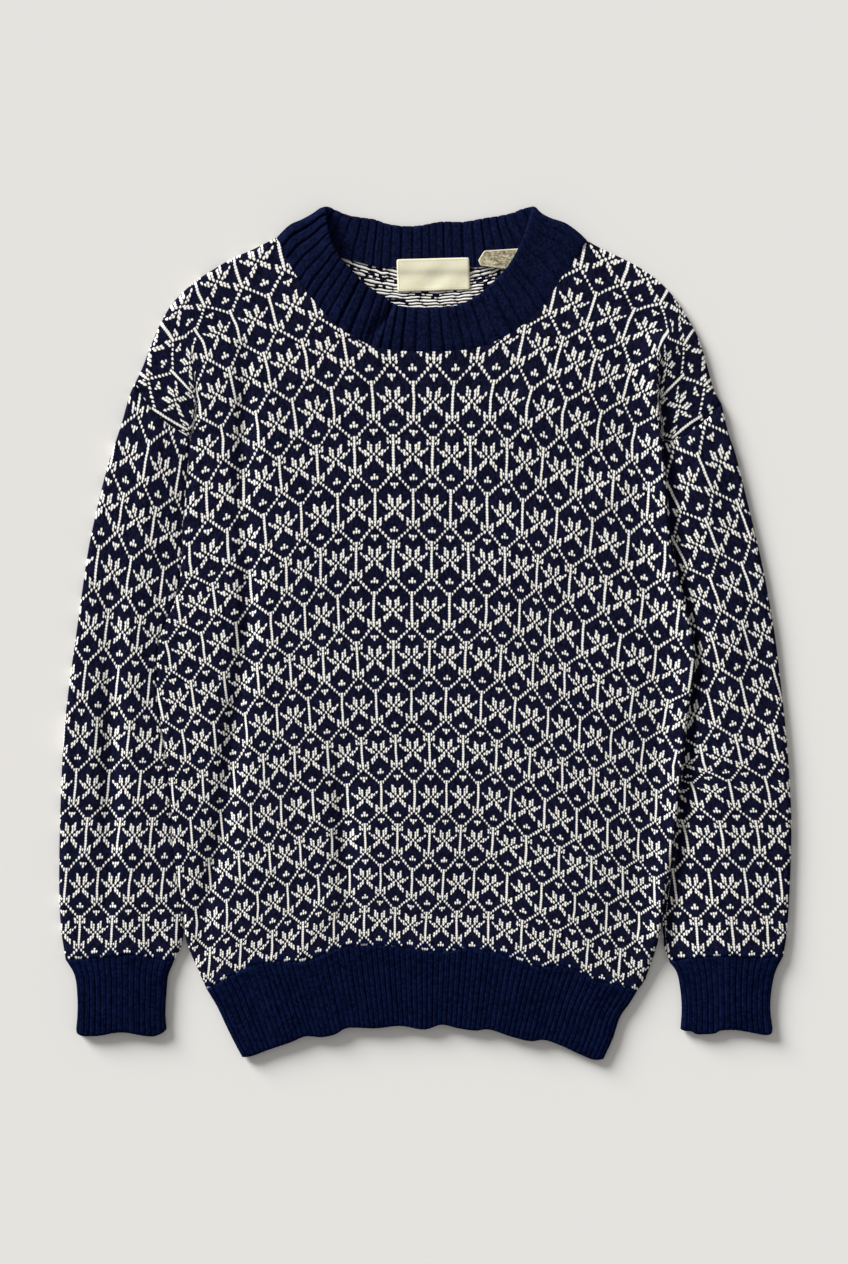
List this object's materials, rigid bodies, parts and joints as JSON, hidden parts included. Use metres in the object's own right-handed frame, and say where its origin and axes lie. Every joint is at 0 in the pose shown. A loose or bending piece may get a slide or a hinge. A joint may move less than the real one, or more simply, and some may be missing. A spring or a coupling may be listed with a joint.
{
  "type": "jacquard knit pullover",
  "caption": "Crew-neck pullover in two-colour jacquard knit with ribbed neck, hem and cuffs, laid flat on its back with its sleeves beside the body.",
  "frame": {"origin": "middle of the underside: half way across the width over both sleeves and half way along the length from hem to neck, on the surface the garment lies on", "axes": "+Z out of the front, up from the surface; +Y from the hem to the neck; +X to the right of someone who looks at the front, which is the wearer's left"},
  "size_m": [0.6236, 0.726, 0.0104],
  "materials": {
    "jacquard": "navy ground with cream figure in two-colour jacquard knit, matt",
    "rib": "navy knitted rib, matt",
    "neck_label": "woven label, cream, blank, slight sheen",
    "care_label": "woven tape, grey beige, blank"
  },
  "bodies": {
    "root": {"front_panel": "jacquard", "back_panel": "jacquard", "sleeve_left": "jacquard", "sleeve_right": "jacquard", "hem_rib_front": "rib", "hem_rib_back": "rib", "cuff_left": "rib", "cuff_right": "rib", "neckband_front": "rib", "neckband_back": "rib", "neck_label": "neck_label", "care_label": "care_label"}
  },
  "joints": []
}
